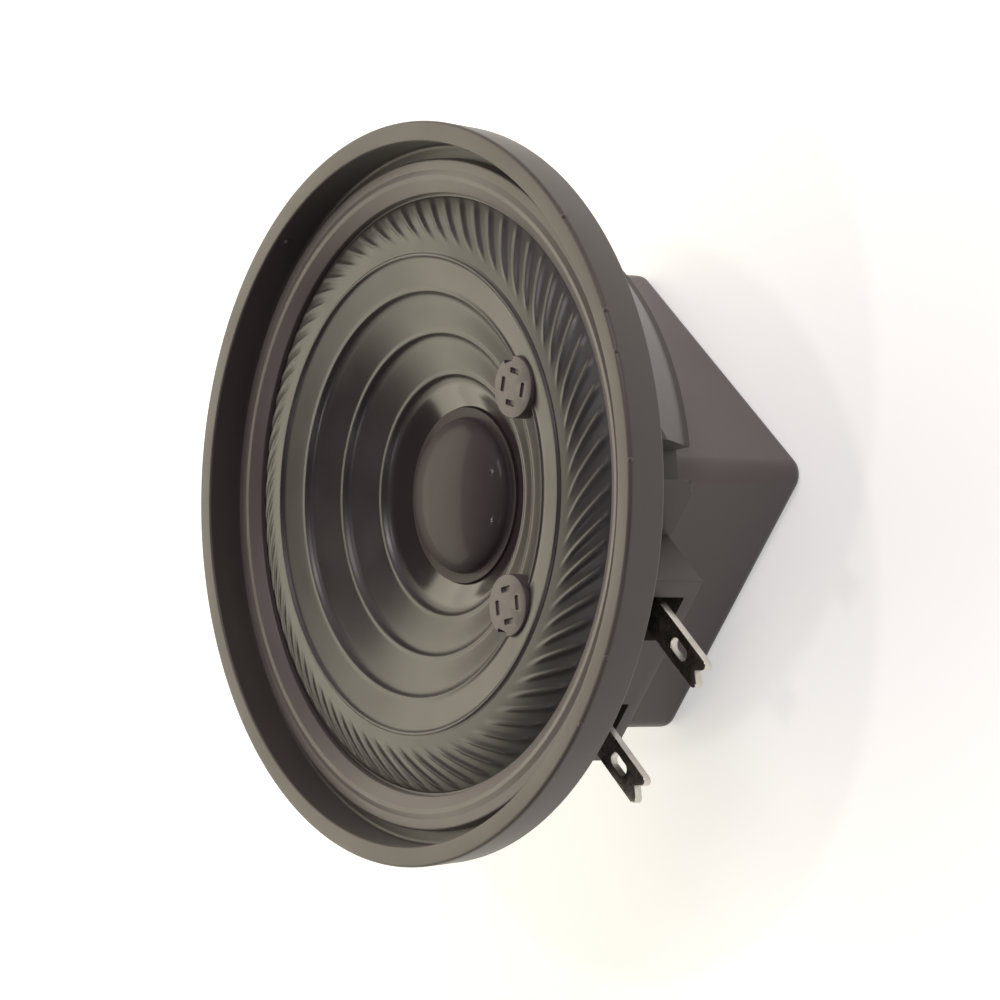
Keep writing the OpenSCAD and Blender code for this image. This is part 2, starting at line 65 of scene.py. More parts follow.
# Pot with its notches, terminal block and back plate
POT_Z = 15.0
POT_REAR_R = 23.6
POT_WALL = 1.5
PLATE_T = 1.6
PLATE_HOLE_R = 9.0
LIP_H = 0.8
FLAT_Y = 18.5
NOTCH_R, NOTCH_W = 21.8, 3.0
NOTCH_ANGLES = (45, 135, 225, 315)
BLOCK_X, BLOCK_Y = 10.2, 24.6
POCKET_X, POCKET_W, POCKET_H = 6.0, 4.8, 4.2
POCKET_FLOOR_Y = 21.1

# Solder lugs
LUG_X, LUG_Z = 6.45, 18.4
LUG_W, LUG_T = 2.8, 0.8
LUG_ROOT_Y, LUG_TIP_Y = 15.6, 32.9

# Magnet cover and the rib that locates it
COVER_HALF, COVER_CORNER, COVER_EDGE = 15.35, 1.8, 1.0
COVER_TOP, COVER_WALL, COVER_FLOOR = 14.5, 1.3, 1.2
RIB_HALF, RIB_T, RIB_H = 13.85, 0.9, 1.6

# Clamp ring and films. The cone's line gives radii with their depths under the rim's front
FILM_T = 0.25
FILM_Z = 25.65
RING_IN_R, RING_STEP_R, RING_OUT_R = 26.75, 28.2, 29.9
SURROUND_R, ROLL_R, EDGE_R = 28.05, 26.5, 21.3
CROWN_H = 0.45
EDGE_BAND = 0.6
PLEATS = 72
PLEAT_H = 0.2
PLEAT_SKEW = 14.5
CONE_LINE = [(6.475, 7.6), (7.85, 7.2), (10.85, 5.75), (14.45, 3.95), (18.1, 2.2), (21.3, 1.5)]
EDGE_Z = FRONT_Z - CONE_LINE[-1][1]
RIDGES = (10.85, 14.45, 18.1)
LAP_BEAD = 21.2
CAP_R, CAP_H, SKIRT_R = 6.9, 2.3, 7.85

# Pads on the cone: each side has its direction in degrees and the way its edge notch is turned
PAD_AT, PAD_R, PAD_Z = 17.0, 2.7, 27.4
PAD_ANGLES = {"right": (-19.0, 1), "left": (-86.0, -1)}
SLOT_AT, SLOT_W, SLOT_L, SLOT_DEPTH = 1.4, 0.5, 1.3, 0.3

# Spider and leads
SPIDER_Z, SPIDER_R, SPIDER_IN, SPIDER_T = 19.2, 16.15, 6.6, 0.4
SPIDER_SEAT_R = 15.0
LEAD_D, LEAD_AT, LEAD_GAP = 0.72, 15.0, 0.3
SOLDER_Y, SOLDER_TOP = 16.3, 19.2

# An outline that closes on the axis stops this short of it, and cutting blocks reach past the part to these
AXIS_R = 0.001
BELOW, ABOVE, BEYOND = 10, 30, 40


# Materials


def linear(colour):
    """Turns an sRGB hex colour to the linear colour that a shader socket takes."""
    parts = [int(colour[i : i + 2], 16) / 255 for i in (1, 3, 5)]
    return tuple(c / 12.92 if c <= 0.04045 else ((c + 0.055) / 1.055) ** 2.4 for c in parts) + (1.0,)


def add(tree, kind, settings=None, **sockets):
    """Adds one node: settings are its own properties, sockets are input values or links from other nodes.

    A socket is given by its name with _ for each space, or as i and its number.
    """
    node = tree.nodes.new(kind)
    for name, value in (settings or {}).items():
        setattr(node, name, value)
    for name, value in sockets.items():
        key = int(name[1:]) if name[0] == "i" and name[1:].isdigit() else name.replace("_", " ")
        socket = node.inputs[key]
        if isinstance(value, bpy.types.NodeSocket):
            tree.links.new(value, socket)
        else:
            socket.default_value = value
    return node


def new_finish(name):
    """A material with an empty node tree, and that tree."""
    finish = bpy.data.materials.new(name)
    finish.use_nodes = True
    finish.node_tree.nodes.clear()
    return finish, finish.node_tree


def moulded_abs(name, colour, worn, rough, grain_mm=0.12):
    """Injection-moulded ABS: even charcoal with the fine spark grain of the tool, duller where dust lies."""
    finish, tree = new_finish(name)
    place = add(tree, "ShaderNodeTexCoord").outputs["Object"]
    # The grain is the tool's own, and dust lies in patches of about 9 mm
    grain = add(tree, "ShaderNodeTexNoise", Vector=place, Scale=1 / (grain_mm * MM), Detail=2.0)
    dust = add(tree, "ShaderNodeTexNoise", Vector=place, Scale=1 / (9 * MM), Detail=3.0).outputs["Fac"]
    tone = add(
        tree, "ShaderNodeMix", {"data_type": "RGBA"}, Factor=dust, i6=linear(colour), i7=linear(worn)
    )
    gloss = add(
        tree, "ShaderNodeMapRange", Value=dust, From_Min=0.3, From_Max=0.7, To_Min=rough - 0.05,
        To_Max=rough + 0.05,
    )
    bump = add(tree, "ShaderNodeBump", Height=grain.outputs["Fac"], Strength=0.35, Distance=0.004 * MM)
    shader = add(
        tree, "ShaderNodeBsdfPrincipled", Base_Color=tone.outputs[2], Roughness=gloss.outputs[0],
        Normal=bump.outputs[0], IOR=1.53, Sheen_Weight=0.12, Sheen_Roughness=0.5,
    )
    add(tree, "ShaderNodeOutputMaterial", Surface=shader.outputs["BSDF"])
    return finish


def formed_film(name, colour, worn, rough, ripple_mm=0.006, coat=0.0, shine=0.5, wet_r=0.0):
    """Thermoformed film: smooth and semi-gloss, with the faint ripple that forming leaves in thin film."""
    finish, tree = new_finish(name)
    place = add(tree, "ShaderNodeTexCoord").outputs["Object"]
    # Ripples 2.5 mm long, and a dusty bloom in patches of about 6 mm
    wave = add(tree, "ShaderNodeTexNoise", Vector=place, Scale=1 / (2.5 * MM), Detail=1.5)
    bloom = add(tree, "ShaderNodeTexNoise", Vector=place, Scale=1 / (6 * MM), Detail=4.0).outputs["Fac"]
    tone = add(
        tree, "ShaderNodeMix", {"data_type": "RGBA"}, Factor=bloom, i6=linear(colour), i7=linear(worn)
    )
    gloss = add(
        tree, "ShaderNodeMapRange", Value=bloom, From_Min=0.3, From_Max=0.7, To_Min=rough - 0.04,
        To_Max=rough + 0.04,
    )
    # Inside this radius the cement of the neck has run over the film and cured wet-looking
    flat = add(tree, "ShaderNodeVectorMath", {"operation": "MULTIPLY"}, i0=place, i1=(1, 1, 0)).outputs[0]
    out = add(tree, "ShaderNodeVectorMath", {"operation": "LENGTH"}, i0=flat).outputs[1]
    dry = add(
        tree, "ShaderNodeMapRange", Value=out, From_Min=(wet_r - 0.4) * MM, From_Max=wet_r * MM, To_Min=0.4
    )
    gloss = add(
        tree, "ShaderNodeMath", {"operation": "MULTIPLY"}, i0=gloss.outputs[0], i1=dry.outputs[0]
    )
    bump = add(tree, "ShaderNodeBump", Height=wave.outputs["Fac"], Strength=0.3, Distance=ripple_mm * MM)
    shader = add(
        tree, "ShaderNodeBsdfPrincipled", Base_Color=tone.outputs[2], Roughness=gloss.outputs[0],
        Normal=bump.outputs[0], IOR=1.57, Specular_IOR_Level=shine, Coat_Weight=coat, Coat_Roughness=0.1,
    )
    add(tree, "ShaderNodeOutputMaterial", Surface=shader.outputs["BSDF"])
    return finish


def plated_metal(name, colour, dark, rough, grain_mm):
    """Plated sheet metal: bright, with the sheet's drawn grain under the plating and duller clouds."""
    finish, tree = new_finish(name)
    place = add(tree, "ShaderNodeTexCoord").outputs["Object"]
    # The grain is drawn out along Y, the way the sheet was rolled, and the clouds are about 1.6 mm across
    stretch = add(tree, "ShaderNodeMapping", Vector=place, Scale=(1.0, 0.08, 1.0))
    grain = add(
        tree, "ShaderNodeTexNoise", Vector=stretch.outputs[0], Scale=1 / (grain_mm * MM), Detail=3.0
    )
    cloud = add(tree, "ShaderNodeTexNoise", Vector=place, Scale=1 / (1.6 * MM), Detail=4.0).outputs["Fac"]
    tone = add(
        tree, "ShaderNodeMix", {"data_type": "RGBA"}, Factor=cloud, i6=linear(colour), i7=linear(dark)
    )
    gloss = add(
        tree, "ShaderNodeMapRange", Value=cloud, From_Min=0.3, From_Max=0.7, To_Min=rough - 0.06,
        To_Max=rough + 0.08,
    )
    bump = add(tree, "ShaderNodeBump", Height=grain.outputs["Fac"], Strength=0.4, Distance=0.003 * MM)
    shader = add(
        tree, "ShaderNodeBsdfPrincipled", Base_Color=tone.outputs[2], Roughness=gloss.outputs[0],
        Normal=bump.outputs[0], Metallic=1.0,
    )
    add(tree, "ShaderNodeOutputMaterial", Surface=shader.outputs["BSDF"])
    return finish


def sintered_ferrite():
    """Sintered ferrite: dull near-black ceramic with fine pores and a dusty grey cast."""
    finish, tree = new_finish("sintered_ferrite")
    place = add(tree, "ShaderNodeTexCoord").outputs["Object"]
    # Real pores are finer than this 0.25 mm, which is as coarse as they need to be to show
    pores = add(tree, "ShaderNodeTexVoronoi", Vector=place, Scale=1 / (0.25 * MM)).outputs["Distance"]
    tone = add(
        tree, "ShaderNodeMix", {"data_type": "RGBA"}, Factor=pores, i6=linear("#2c2c2f"), i7=linear("#454548")
    )
    bump = add(tree, "ShaderNodeBump", Height=pores, Strength=0.5, Distance=0.01 * MM)
    shader = add(
        tree, "ShaderNodeBsdfPrincipled", Base_Color=tone.outputs[2], Roughness=0.62, Normal=bump.outputs[0]
    )
    add(tree, "ShaderNodeOutputMaterial", Surface=shader.outputs["BSDF"])
    return finish


def cast_compound(name, colour, worn, rough, lumps_mm):
    """Poured or pressed compound, such as sealant, rubber or adhesive: low soft lumps and an uneven skin."""
    finish, tree = new_finish(name)
    place = add(tree, "ShaderNodeTexCoord").outputs["Object"]
    lumps = add(
        tree, "ShaderNodeTexNoise", Vector=place, Scale=1 / (lumps_mm * MM), Detail=3.0
    ).outputs["Fac"]
    tone = add(
        tree, "ShaderNodeMix", {"data_type": "RGBA"}, Factor=lumps, i6=linear(colour), i7=linear(worn)
    )
    bump = add(tree, "ShaderNodeBump", Height=lumps, Strength=0.6, Distance=0.05 * MM)
    shader = add(
        tree, "ShaderNodeBsdfPrincipled", Base_Color=tone.outputs[2], Roughness=rough, Normal=bump.outputs[0]
    )
    add(tree, "ShaderNodeOutputMaterial", Surface=shader.outputs["BSDF"])
    return finish


def wound_copper():
    """Enamelled copper wire wound in one layer: bright turns 0.12 mm apart, with painted shade as dark lines
    between them.
    """
    finish, tree = new_finish("wound_enamelled_copper")
    place = add(tree, "ShaderNodeTexCoord").outputs["Object"]
    # A wave texture has 10 / pi bands in each unit of its scale
    turns = add(
        tree, "ShaderNodeTexWave", {"bands_direction": "Z"}, Vector=place, Scale=math.pi / (10 * 0.12 * MM)
    ).outputs["Fac"]
    # The dark colour is painted shade in the grooves between the turns, where the bump also dips
    tone = add(
        tree, "ShaderNodeMix", {"data_type": "RGBA"}, Factor=turns, i6=linear("#5a2a12"), i7=linear("#c8793f")
    )
    bump = add(tree, "ShaderNodeBump", Height=turns, Strength=0.8, Distance=0.03 * MM)
    shader = add(
        tree, "ShaderNodeBsdfPrincipled", Base_Color=tone.outputs[2], Roughness=0.32, Metallic=1.0,
        Normal=bump.outputs[0],
    )
    add(tree, "ShaderNodeOutputMaterial", Surface=shader.outputs["BSDF"])
    return finish


def braided_copper():
    """Braided tinsel lead: copper strands that cross at a slant, drawn 0.25 mm apart, so that they show, with
    painted shade darker in the gaps between them.
    """
    finish, tree = new_finish("braided_tinsel_copper")
    place = add(tree, "ShaderNodeTexCoord").outputs["Object"]
    strands = add(
        tree, "ShaderNodeTexWave", {"bands_direction": "DIAGONAL"}, Vector=place, Distortion=2.0,
        Scale=math.pi / (10 * 0.25 * MM),
    ).outputs["Fac"]
    # The dark colour is painted shade in the gaps between strands, where the bump also dips
    tone = add(
        tree, "ShaderNodeMix", {"data_type": "RGBA"}, Factor=strands, i6=linear("#6b3a1c"),
        i7=linear("#d08a52"),
    )
    bump = add(tree, "ShaderNodeBump", Height=strands, Strength=0.8, Distance=0.05 * MM)
    shader = add(
        tree, "ShaderNodeBsdfPrincipled", Base_Color=tone.outputs[2], Roughness=0.42, Metallic=0.9,
        Normal=bump.outputs[0],
    )
    add(tree, "ShaderNodeOutputMaterial", Surface=shader.outputs["BSDF"])
    return finish


def treated_cloth():
    """Cotton cloth stiffened with resin: a plain weave of 0.35 mm threads, amber brown and a little shiny,
    with painted shade darker between the threads.
    """
    finish, tree = new_finish("resin_treated_cotton_cloth")
    place = add(tree, "ShaderNodeTexCoord").outputs["Object"]
    warp, weft = (
        add(
            tree, "ShaderNodeTexWave", {"bands_direction": way}, Vector=place,
            Scale=math.pi / (10 * 0.35 * MM),
        )
        for way in ("X", "Y")
    )
    weave = add(
        tree, "ShaderNodeMath", {"operation": "MULTIPLY"}, i0=warp.outputs["Fac"], i1=weft.outputs["Fac"]
    ).outputs[0]
    # The dark colour is painted shade between the threads; where they cross on top it is the cloth's own
    # amber
    tone = add(
        tree, "ShaderNodeMix", {"data_type": "RGBA"}, Factor=weave, i6=linear("#7a5a2c"), i7=linear("#c9a566")
    )
    bump = add(tree, "ShaderNodeBump", Height=weave, Strength=0.7, Distance=0.06 * MM)
    shader = add(
        tree, "ShaderNodeBsdfPrincipled", Base_Color=tone.outputs[2], Roughness=0.6, Normal=bump.outputs[0]
    )
    add(tree, "ShaderNodeOutputMaterial", Surface=shader.outputs["BSDF"])
    return finish


# Mouldings: the cover's tool has the coarser grain and shows a little lighter
BASKET_ABS = moulded_abs("moulded_abs_basket", "#413a3b", "#4c4542", 0.44)
COVER_ABS = moulded_abs("moulded_abs_magnet_cover", "#544b4d", "#5f5654", 0.42, grain_mm=0.16)
RING_ABS = moulded_abs("moulded_abs_clamp_ring", "#494043", "#544b4a", 0.4)
# Films: near-black, the cone glossier with cement run out to 10.2 mm, the cap matt under a thin clear coat
SURROUND_FILM = formed_film("thermoformed_film_surround", "#1f181d", "#292222", 0.42, shine=0.55)
CONE_FILM = formed_film("thermoformed_film_cone", "#271f25", "#302829", 0.35, wet_r=10.2)
CAP_FILM = formed_film(
    "thermoformed_film_dust_cap", "#3b3437", "#433b3e", 0.52, ripple_mm=0.004, coat=0.1, shine=0.1
)
PAD_FILM = formed_film("pressed_fibre_lead_pad", "#4c4447", "#584f4f", 0.48, ripple_mm=0.01)
# Metals: bright tin on the lugs, duller bluish zinc on the steel, and solder that froze with larger crystals
TIN = plated_metal("tin_plated_brass_lug", "#d9d6cf", "#a8a49c", 0.26, grain_mm=0.12)
ZINC = plated_metal("zinc_plated_steel", "#b9bcc0", "#8f9296", 0.34, grain_mm=0.3)
SOLDER = plated_metal("reflowed_solder", "#c9cacc", "#9a9b9e", 0.28, grain_mm=0.4)
FERRITE = sintered_ferrite()
# Compounds: dull rubber, glossier poured sealant, and amber adhesive and film tube
SEAL = cast_compound("pressed_nitrile_seal", "#1b1b1c", "#262627", 0.7, lumps_mm=0.6)
SEALANT = cast_compound("poured_black_sealant", "#141415", "#222223", 0.45, lumps_mm=0.8)
ADHESIVE = cast_compound("cured_amber_adhesive", "#8f7436", "#b89a52", 0.25, lumps_mm=0.9)
FORMER = cast_compound("rolled_polyimide_former", "#8a4f1a", "#a5642a", 0.3, lumps_mm=1.2)
WINDING = wound_copper()
BRAID = braided_copper()
CLOTH = treated_cloth()


# Meshes


def placed(name, data):
    """A new object in the scene."""
    made = bpy.data.objects.new(name, data)
    bpy.context.scene.collection.objects.link(made)
    return made


def put(mesh, name, finish, body, replaces=(), sharp=30):
    """Makes a mesh the piece of that name, smooth but for its sharp edges, and lets it ride on its body."""
    mesh.name = name
    mesh.shade_smooth()
    mesh.set_sharp_from_angle(angle=math.radians(sharp))
    mesh.materials.clear()
    mesh.materials.append(finish)
    piece = placed(name, mesh)
    if body:
        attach(piece, body)
    if replaces:
        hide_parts(*replaces)
    return piece


def cleaned(mesh):
    """Merges the points of a mesh that fall together and turns its faces outward."""
    shape = bmesh.new()
    shape.from_mesh(mesh)
    bmesh.ops.remove_doubles(shape, verts=shape.verts, dist=1e-7)
    bmesh.ops.recalc_face_normals(shape, faces=shape.faces)
    shape.to_mesh(mesh)
    shape.free()
    return mesh


def mesh_of(points, faces):
    """A mesh of points in mm."""
    mesh = bpy.data.meshes.new("piece")
    mesh.from_pydata([(x * MM, y * MM, z * MM) for x, y, z in points], [], faces)
    mesh.validate()
    return cleaned(mesh)


def settled(holder, *others):
    """The mesh of an object after its modifiers. The object itself and the others are removed."""
    bpy.context.view_layer.update()
    result = bpy.data.meshes.new_from_object(holder.evaluated_get(bpy.context.evaluated_depsgraph_get()))
    for each in (holder, *others):
        bpy.data.objects.remove(each)
    return result


def boolean(target, tool, operation):
    """Joins, cuts or keeps the common part of two meshes, and returns the result as a new mesh."""
    a, b = placed("target", target), placed("tool", tool)
    step = a.modifiers.new("step", "BOOLEAN")
    step.operation = operation
    step.object = b
    step.solver = "EXACT"
    return settled(a, b)


def bevelled(mesh, width, angle=40, steps=2):
    """The same mesh with its sharp edges rounded off."""
    holder = placed("holder", mesh)
    step = holder.modifiers.new("round", "BEVEL")
    step.width = width * MM
    step.segments = steps
    step.limit_method = "ANGLE"
    step.angle_limit = math.radians(angle)
    step.use_clamp_overlap = True
    return settled(holder)


def joined(parts):
    """One mesh out of several that touch or run into each other."""
    shape = bmesh.new()
    for part in parts:
        shape.from_mesh(part)
    whole = bpy.data.meshes.new("piece")
    shape.to_mesh(whole)
    shape.free()
    return whole


def softened(corners, radii, steps=5):
    """A closed outline with its corners rounded: each corner takes its own radius, 0 for a sharp one."""
    line = []
    count = len(corners)
    for i in range(count):
        corner = Vector(corners[i]).to_2d()
        before = Vector(corners[i - 1]).to_2d() - corner
        after = Vector(corners[(i + 1) % count]).to_2d() - corner
        radius = radii[i]
        if radius <= 0:
            line.append(tuple(corner))
            continue
        turn = before.angle(after)
        reach = min(radius / math.tan(turn / 2), 0.49 * before.length, 0.49 * after.length)
        start = corner + before.normalized() * reach
        end = corner + after.normalized() * reach
        for k in range(steps + 1):
            t = k / steps
            line.append(tuple((1 - t) ** 2 * start + 2 * t * (1 - t) * corner + t * t * end))
    return line


def lathe(line, turns=288):
    """A closed outline in radius and height, turned round the axis."""
    count = len(line)
    angles = [2 * math.pi * k / turns for k in range(turns)]
    points = [(r * math.cos(a), r * math.sin(a), z) for a in angles for r, z in line]
    faces = []
    for k in range(turns):
        a, b = k * count, (k + 1) % turns * count
        for i in range(count):
            j = (i + 1) % count
            faces.append((a + i, b + i, b + j, a + j))
    return mesh_of(points, faces)


def bar(low, high, turn=0.0):
    """A plain cutting or filling block between two corners, turned round the axis by an angle in degrees."""
    points = [(x, y, z) for x in (low[0], high[0]) for y in (low[1], high[1]) for z in (low[2], high[2])]
    c, s = math.cos(math.radians(turn)), math.sin(math.radians(turn))
    points = [(c * x - s * y, s * x + c * y, z) for x, y, z in points]
    faces = [(0, 1, 3, 2), (4, 6, 7, 5), (0, 4, 5, 1), (2, 3, 7, 6), (0, 2, 6, 4), (1, 5, 7, 3)]
    return mesh_of(points, faces)


def rounded_square(half, corner, steps=10):
    """Points of a square with round corners, corner by corner."""
    line = []
    for k, (sx, sy) in enumerate(((1, 1), (-1, 1), (-1, -1), (1, -1))):
        for i in range(steps + 1):
            a = math.radians(90 * (k + i / steps))
            x = sx * (half - corner) + corner * math.cos(a)
            y = sy * (half - corner) + corner * math.sin(a)
            line.append((x, y))
    return line


def loft(rings, heights, closed=False):
    """Joins rings of equal point counts, each at its own height: closed joins the last to the first."""
    count = len(rings[0])
    points = [(x, y, z) for ring, z in zip(rings, heights) for x, y in ring]
    faces = []
    last = len(rings) if closed else len(rings) - 1
    for j in range(last):
        a, b = j * count, (j + 1) % len(rings) * count
        for i in range(count):
            faces.append((a + i, a + (i + 1) % count, b + (i + 1) % count, b + i))
    if not closed:
        faces.append(tuple(range(count))[::-1])
        faces.append(tuple((len(rings) - 1) * count + i for i in range(count)))
    return mesh_of(points, faces)


# Basket


def basket_rim():
    """Rim, ledge, seat and register of the basket, with the soft edges of a moulding."""
    inside = REGISTER_R - POT_WALL
    corners = [
        (inside, REGISTER_Z), (REGISTER_R, REGISTER_Z), (REGISTER_R, SEAT_Z), (SEAT_R, SEAT_Z),
        (RIM_FOOT_R, RIM_FOOT_Z), (RIM_R, FRONT_Z), (BOWL_R, FRONT_Z), (BOWL_R, LEDGE_Z),
        (LEDGE_R, LEDGE_Z), (LEDGE_R, SEAT_Z),
        (inside, SEAT_Z - 0.6),
    ]
    radii = [0, 0, 0.15, 0.25, 0.35, 0.4, 0.25, 0.45, 0.12, 0.1, 0.1]
    return lathe(softened(corners, radii, 6), 360)


def nib(angle, r, z):
    """One of the tiny round nibs that the vents of the mould leave on the rim's edge."""
    steps, size = 10, 0.25
    arc = [math.pi * k / steps - math.pi / 2 for k in range(steps + 1)]
    ball = lathe([(max(size * math.cos(a), AXIS_R / 2), size * math.sin(a)) for a in arc], 16)
    ball.transform(Matrix.Rotation(math.radians(angle), 4, "Z") @ Matrix.Translation((r * MM, 0, z * MM)))
    return ball


def pot_r(z):
    """Outer radius of the conical pot at a height."""
    return POT_REAR_R + (z - POT_Z) * (REGISTER_R - POT_REAR_R) / (REGISTER_Z - POT_Z)


def basket_pot():
    """Conical pot with its lip, flat terminal side, notches, spider seat and pocketed terminal block."""
    lip = POT_Z + LIP_H
    front = SEAT_Z - 0.05
    outside = lathe([
        (AXIS_R, POT_Z), (POT_REAR_R - 0.15, POT_Z), (POT_REAR_R + 0.2, POT_Z + 0.06),
        (POT_REAR_R + 0.38, POT_Z + 0.3), (pot_r(lip) + 0.36, lip - 0.12), (pot_r(lip) + 0.3, lip + 0.1),
        (pot_r(lip + 0.35) + 0.02, lip + 0.33), (REGISTER_R - 0.02, REGISTER_Z + 0.05),
        (REGISTER_R - 0.02, front), (AXIS_R, front),
    ], 180)
    outside = boolean(outside, bar((-BEYOND, -FLAT_Y, BELOW), (BEYOND, BEYOND, ABOVE)), "INTERSECT")
    block = bar((-BLOCK_X, -BLOCK_Y, POT_Z), (BLOCK_X, POT_WALL - FLAT_Y, SEAT_Z))
    outside = boolean(outside, bevelled(block, 0.22, steps=3), "UNION")

    plate = POT_Z + PLATE_T
    inner = lathe([
        (AXIS_R, plate), (pot_r(plate) - POT_WALL, plate), (REGISTER_R - POT_WALL, REGISTER_Z),
        (REGISTER_R - POT_WALL, SEAT_Z + 1), (AXIS_R, SEAT_Z + 1),
    ], 180)
    flat = bar((-BEYOND, POT_WALL - FLAT_Y, BELOW), (BEYOND, BEYOND, ABOVE))
    inner = boolean(inner, flat, "INTERSECT")
    for angle in NOTCH_ANGLES:
        walled = NOTCH_W / 2 + POT_WALL
        wall = bar((NOTCH_R - POT_WALL, -walled, BELOW), (BEYOND, walled, REGISTER_Z), angle)
        inner = boolean(inner, wall, "DIFFERENCE")
    body = boolean(outside, inner, "DIFFERENCE")

    foot = POT_Z + 1
    seat = [(SPIDER_SEAT_R, foot), (SPIDER_R, foot), (SPIDER_R, SPIDER_Z), (SPIDER_SEAT_R, SPIDER_Z)]
    body = boolean(body, lathe(softened(seat, [0, 0, 0.15, 0.15], 3), 120), "UNION")
    hole = [(AXIS_R, POT_Z - 3), (PLATE_HOLE_R, POT_Z - 3), (PLATE_HOLE_R, POT_Z + 3), (AXIS_R, POT_Z + 3)]
    body = boolean(body, lathe(hole, 96), "DIFFERENCE")
    for angle in NOTCH_ANGLES:
        notch = bar((NOTCH_R, -NOTCH_W / 2, BELOW), (BEYOND, NOTCH_W / 2, REGISTER_Z), angle)
        body = boolean(body, notch, "DIFFERENCE")
    for side in (-1, 1):
        middle, half, rise = side * POCKET_X, POCKET_W / 2, POCKET_H / 2
        pocket = bar((middle - half, -26, LUG_Z - rise), (middle + half, -POCKET_FLOOR_Y, LUG_Z + rise))
        body = boolean(body, bevelled(pocket, 0.12), "DIFFERENCE")
        middle, half, rise = side * LUG_X, LUG_W / 2, LUG_T / 2
        slit = bar((middle - half, -22, LUG_Z - rise), (middle + half, -16, LUG_Z + rise))
        body = boolean(body, slit, "DIFFERENCE")
    return bevelled(body, 0.12, 50)


def cover_rib():
    """Square rib behind the pot that locates the magnet cover."""
    outer, inner = rounded_square(RIB_HALF, 1.4), rounded_square(RIB_HALF - RIB_T, 1.2)
    root, end = POT_Z + 0.1, POT_Z - RIB_H
    return loft([outer, outer, inner, inner], [root, end, end, root], True)


def magnet_cover():
    """Square moulded cover with upright round corners and a rounded rear edge, hollow inside."""
    rings, heights = [], []
    for k in range(9):
        a = math.radians(90 * k / 8)
        inset = COVER_EDGE * (1 - math.sin(a))
        rings.append(rounded_square(COVER_HALF - inset, max(COVER_CORNER - inset, 0.3)))
        heights.append(COVER_EDGE * (1 - math.cos(a)))
    soft = 0.12
    inside = COVER_WALL
    for z, inset in ((COVER_TOP - soft, 0), (COVER_TOP, soft), (COVER_TOP, inside), (COVER_FLOOR, inside)):
        rings.append(rounded_square(COVER_HALF - inset, max(COVER_CORNER - inset, 0.5)))
        heights.append(z)
    return loft(rings, heights)


def clamp_ring():
    """Moulded ring that holds the surround's edge: a flat shelf on the ledge with a low rounded crest."""
    corners = [
        (RING_IN_R, FILM_Z), (RING_STEP_R, FILM_Z), (RING_STEP_R, LEDGE_Z), (RING_OUT_R, LEDGE_Z),
        (RING_OUT_R - 0.1, 26.6), (28.8, 26.64), (28.3, 26.8), (27.9, 26.75), (RING_IN_R, 26.1),
    ]
    return lathe(softened(corners, [0.04, 0, 0, 0.1, 0.3, 0.5, 0.2, 0.3, 0.2], 6), 360)


# Films that move


def eased(x, start, end):
    """Rises smoothly from 0 at the start to 1 at the end."""
    t = min(max((x - start) / (end - start), 0.0), 1.0)
    return t * t * (3 - 2 * t)


def crown_z(t):
    """Height of the surround between its pleats, t of the way from the clamp ring to the cone."""
    return FILM_Z + (EDGE_Z - FILM_Z) * t + CROWN_H * math.sin(math.pi * t)


def pleated_surround():
    """Film surround with skewed, rounded pleats that rise at the clamp ring and fade before the cone."""
    across, per_pleat = 40, 16
    turns = PLEATS * per_pleat
    run = ROLL_R - EDGE_R
    rows = [(SURROUND_R, FILM_Z, 0.0, 0.0), (27.2, FILM_Z, 0.0, 0.0)]
    for i in range(across + 1):
        t = i / across
        u = run * t / (run - EDGE_BAND)
        rise = eased(u, 0.0, 0.2) * (1 - eased(u, 0.6, 0.92))
        skew = PLEAT_SKEW * (0.76 * min(u, 1) + 0.24 * min(u, 1) ** 2)
        rows.append((ROLL_R - run * t, crown_z(t), PLEAT_H * rise, skew))
    top, under = [], []
    for r, z, height, skew in rows:
        for k in range(turns):
            a = 2 * math.pi * k / turns - math.radians(skew)
            crest = ((1 + math.cos(2 * math.pi * k / per_pleat)) / 2) ** 3
            top.append((r * math.cos(a), r * math.sin(a), z + height * crest))
            under.append((r * math.cos(a), r * math.sin(a), z + height * crest - FILM_T))
    faces = []
    count, size = len(rows), len(top)
    for j in range(count - 1):
        for k in range(turns):
            a, b = j * turns + k, j * turns + (k + 1) % turns
            faces.append((a, a + turns, b + turns, b))
            faces.append((a + size, b + size, b + turns + size, a + turns + size))
    for j, flip in ((0, False), (count - 1, True)):
        for k in range(turns):
            a, b = j * turns + k, j * turns + (k + 1) % turns
            faces.append((a, a + size, b + size, b) if flip else (a, b, b + size, a + size))
    return mesh_of(top + under, faces)


def cone_z(r):
    """Height of the cone's front face at radius r, without its ridges."""
    radii = [p[0] for p in CONE_LINE]
    drops = [p[1] for p in CONE_LINE]
    return FRONT_Z - float(np.interp(r, radii, drops))


def bead(r, middle, height, width):
    """Height of a soft round bead at radius r."""
    return height * math.exp(-(((r - middle) / width) ** 2))


def cone_front(r):
    """Front face of the film cone at radius r: each bead stands on the slope with a slight sink inside it."""
    z = cone_z(r)
    for ridge in RIDGES:
        z += bead(r, ridge, 0.19, 0.24) - bead(r, ridge - 0.6, 0.05, 0.35)
    return z + bead(r, LAP_BEAD, 0.2, 0.2)


